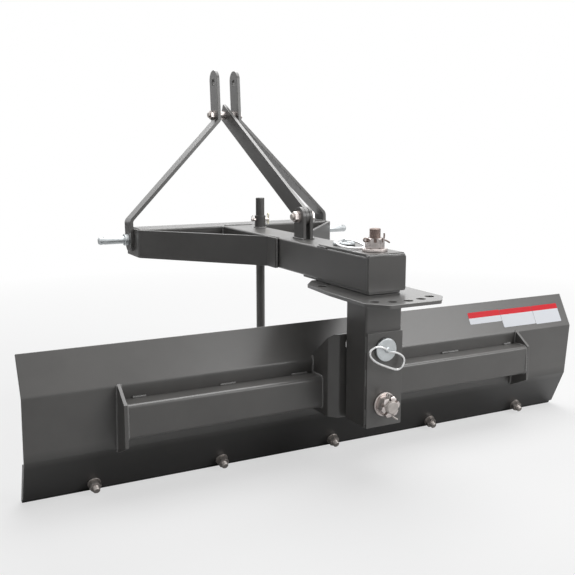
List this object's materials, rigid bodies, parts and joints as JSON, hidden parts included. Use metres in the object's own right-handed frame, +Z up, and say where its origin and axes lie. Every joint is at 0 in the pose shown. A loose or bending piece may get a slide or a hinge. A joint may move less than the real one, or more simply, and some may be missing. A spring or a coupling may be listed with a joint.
{
  "type": "rear snow blade",
  "caption": "Three-point-hitch rear snow blade: a bent moldboard that tilts on a post, swung under a boom with an A-frame mast, lower hitch pins and a parking stand.",
  "frame": {"origin": "on the ground, under the middle of the bounding box", "axes": "+X to the right along the blade, +Y forward towards the tractor's hitch, +Z up"},
  "size_m": [1.524, 1.0313, 0.9828],
  "materials": {
    "paint": "semi-gloss charcoal grey",
    "edge_steel": "semi-gloss near black",
    "zinc": "zinc plated"
  },
  "bodies": {
    "hitch_frame": {"boom": "paint", "boom_end_cap": "paint", "boom_top_plate": "paint", "boom_wear_plate": "paint", "swing_lock_pin": "zinc", "cross_beam": "paint", "brace": "paint", "brace_bolt": "zinc", "mast_bolt": "zinc", "stand_sleeve": "paint", "side_plate_right": "paint", "side_plate_left": "paint", "mast_strap_right": "paint", "mast_strap_left": "paint", "hitch_pin_right": "zinc", "hitch_pin_left": "zinc", "lug_right": "paint", "lug_left": "paint"},
    "swing": {"turntable": "paint", "post": "paint", "post_doubler": "paint", "kingpin": "zinc", "tilt_bolt": "zinc", "tilt_lock_pin": "zinc"},
    "blade": {"moldboard": "paint", "cutting_edge": "edge_steel", "centre_bracket": "paint", "stiffener_right": "paint", "stiffener_left": "paint", "gusset_right": "paint", "gusset_left": "paint"},
    "stand": {"stand_tube": "paint"}
  },
  "joints": [
    {"name": "blade_swing", "type": "hinge", "parent": "hitch_frame", "child": "swing", "pos_m": [0, -0.35566, 0.4315], "axis": [0, 0, 1], "range_deg": [-33, 33]},
    {"name": "blade_tilt", "type": "hinge", "parent": "swing", "child": "blade", "pos_m": [0, -0.30966, 0.179], "axis": [0, 1, 0], "range_deg": [-15, 15]},
    {"name": "stand_slide", "type": "slide", "parent": "hitch_frame", "child": "stand", "axis": [0, 0, 1], "range_m": [0, 0.42]}
  ]
}
